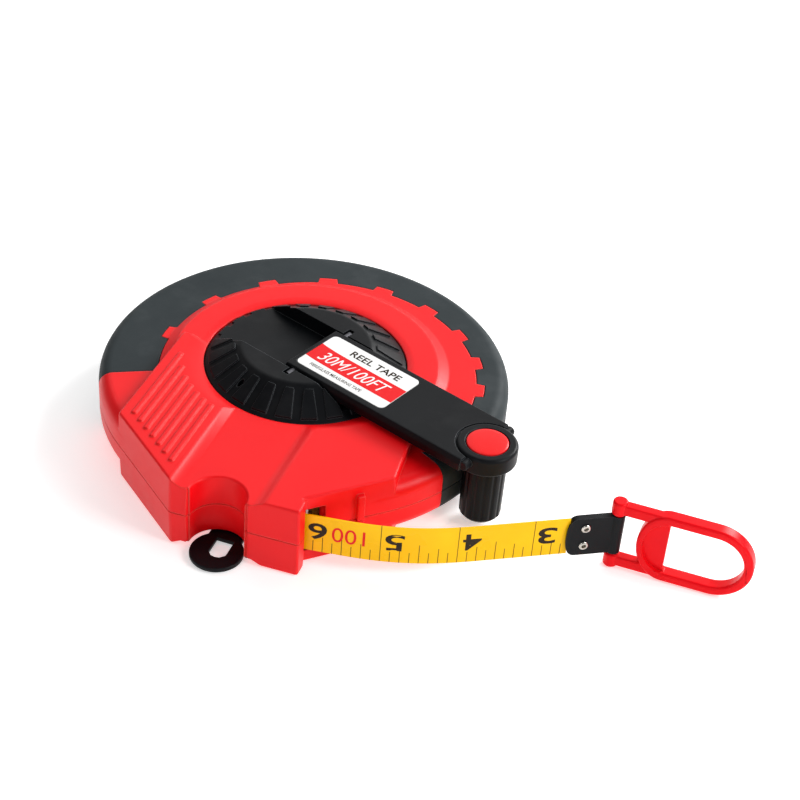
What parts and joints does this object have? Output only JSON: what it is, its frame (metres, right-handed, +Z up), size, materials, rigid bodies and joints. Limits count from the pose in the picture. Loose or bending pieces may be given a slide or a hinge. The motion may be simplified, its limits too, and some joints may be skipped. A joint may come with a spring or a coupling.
{
  "type": "surveyor tape reel",
  "caption": "Closed-case tape reel: flat red round case with rubber bumper, folding crank over a fluted hub, hanging notch and eye, long measuring tape run out of the mouth to a finger ring",
  "frame": {"origin": "on the reel's axis, in the plane the closed case lies on", "axes": "+Z up through the reel and crank hub; -Y towards the hanging notch; +X towards the side the tape leaves from"},
  "size_m": [0.2434, 0.1631, 0.034],
  "materials": {
    "red_shell": "satin moulded",
    "bumper": "soft matte",
    "black_plastic": "satin moulded",
    "grip": "fluted",
    "red_cap": "glossy domed",
    "red_ring": "satin moulded",
    "tape": "glossy coated",
    "label": "printed vinyl",
    "leader": "smooth black",
    "nickel": "nickel plated",
    "steel": "plain"
  },
  "bodies": {
    "case": {"top_shell": "red_shell", "bottom_shell": "red_shell", "top_bumper": "bumper", "bottom_bumper": "bumper", "case_screw_1": "steel", "case_screw_2": "steel", "case_screw_3": "steel", "case_screw_4": "steel", "case_screw_5": "steel", "case_screw_6": "steel", "guide_pin": "steel", "hanging_eye": "black_plastic", "eye_screw": "steel", "spindle": "steel"},
    "reel": {"spool": "black_plastic", "spool_flange": "black_plastic", "wound_tape": "tape", "crank_hub": "black_plastic", "hub_screw_1": "steel", "hub_screw_2": "steel", "hub_screw_3": "steel", "arm_pin": "steel"},
    "crank": {"crank_arm": "black_plastic", "arm_label": "label", "knob_cap": "red_cap"},
    "grip": {"knob_grip": "grip", "grip_stud": "steel"},
    "tape": {"tape_strip": "tape", "tape_leader": "leader", "upper_eyelet": "nickel", "lower_eyelet": "nickel"},
    "ring": {"end_ring": "red_ring"}
  },
  "joints": [
    {"name": "reel_spin", "type": "hinge", "parent": "case", "child": "reel", "pos_m": [0, 0, 0.0138], "axis": [0, 0, 1], "range_deg": [-15, 240]},
    {"name": "crank_fold", "type": "hinge", "parent": "reel", "child": "crank", "pos_m": [0.00563, -0.00206, 0.0312], "axis": [-0.3437, -0.9391, 0], "range_deg": [0, 180]},
    {"name": "grip_spin", "type": "hinge", "parent": "crank", "child": "grip", "pos_m": [0.07584, -0.02775, 0.016], "axis": [0, 0, 1], "continuous": true},
    {"name": "tape_pull", "type": "slide", "parent": "case", "child": "tape", "axis": [0.9776, -0.2103, 0], "range_m": [0, 0.04]},
    {"name": "ring_swing", "type": "hinge", "parent": "tape", "child": "ring", "pos_m": [0.1235, -0.03175, 0.0138], "axis": [0, 0, 1], "range_deg": [-80, 140]}
  ]
}
